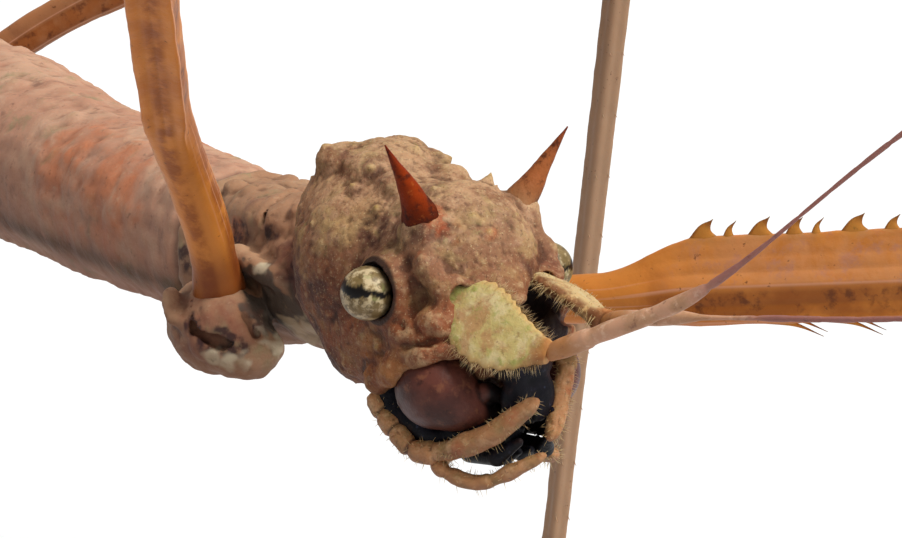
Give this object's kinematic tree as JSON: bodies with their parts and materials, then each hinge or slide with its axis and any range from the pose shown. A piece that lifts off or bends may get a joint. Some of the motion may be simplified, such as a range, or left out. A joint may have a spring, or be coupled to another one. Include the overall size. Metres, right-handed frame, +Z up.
{
  "type": "giant stick insect model",
  "caption": "Life-size still model of a wingless giant stick insect: long jointed body, horned head with leaf-like feeler roots, saw-edged forelegs, standing on its feet.",
  "frame": {"origin": "floor level under the middle of the whole model's bounding box", "axes": "+Z up, +Y from the head towards the tail, +X towards the insect's left side"},
  "size_m": [0.1248, 0.284, 0.0597],
  "materials": {
    "body": "dull bark-like cuticle, pinkish brown with orange and olive patches",
    "abdomen": "dull bark-like cuticle, brown with darker streaks",
    "head": "dull knobbly cuticle, mauve brown with ochre mottling",
    "leg": "satin, slightly translucent orange-brown cuticle with dark mottling",
    "horn": "satin rust-red horn, darker at its foot and tip",
    "eye": "glossy cream eye with a dark irregular band",
    "jaw": "glossy dark reddish brown",
    "feeler": "ochre, finely hairy"
  },
  "bodies": {
    "root": {"head": "head", "labrum": "head", "labium": "jaw", "eye_right": "eye", "horn_right": "horn", "mandible_right": "jaw", "scape_right": "feeler", "flagellum_base_right": "feeler", "flagellum_tip_right": "feeler", "eye_left": "eye", "horn_left": "horn", "mandible_left": "jaw", "scape_left": "feeler", "flagellum_base_left": "feeler", "flagellum_tip_left": "feeler", "maxillary_palp_right": "feeler", "maxillary_palp_left": "feeler", "labial_palp_right": "feeler", "labial_palp_left": "feeler", "prothorax": "body", "mesothorax": "body", "metathorax": "body", "median_segment": "body", "abdomen_2": "abdomen", "abdomen_3": "abdomen", "abdomen_4": "abdomen", "abdomen_5": "abdomen", "abdomen_6": "abdomen", "abdomen_7": "abdomen", "abdomen_8": "abdomen", "abdomen_9": "abdomen", "abdomen_10": "abdomen", "subgenital_plate": "abdomen", "cercus_right": "abdomen", "cercus_left": "abdomen", "coxa_fore_right": "body", "femur_fore_right": "leg", "tibia_fore_right": "leg", "tarsus_fore_right": "leg", "coxa_fore_left": "body", "femur_fore_left": "leg", "tibia_fore_left": "leg", "tarsus_fore_left": "leg", "coxa_middle_right": "body", "femur_middle_right": "leg", "tibia_middle_right": "leg", "tarsus_middle_right": "leg", "coxa_middle_left": "body", "femur_middle_left": "leg", "tibia_middle_left": "leg", "tarsus_middle_left": "leg", "coxa_hind_right": "body", "femur_hind_right": "leg", "tibia_hind_right": "leg", "tarsus_hind_right": "leg", "coxa_hind_left": "body", "femur_hind_left": "leg", "tibia_hind_left": "leg", "tarsus_hind_left": "leg"}
  },
  "joints": []
}
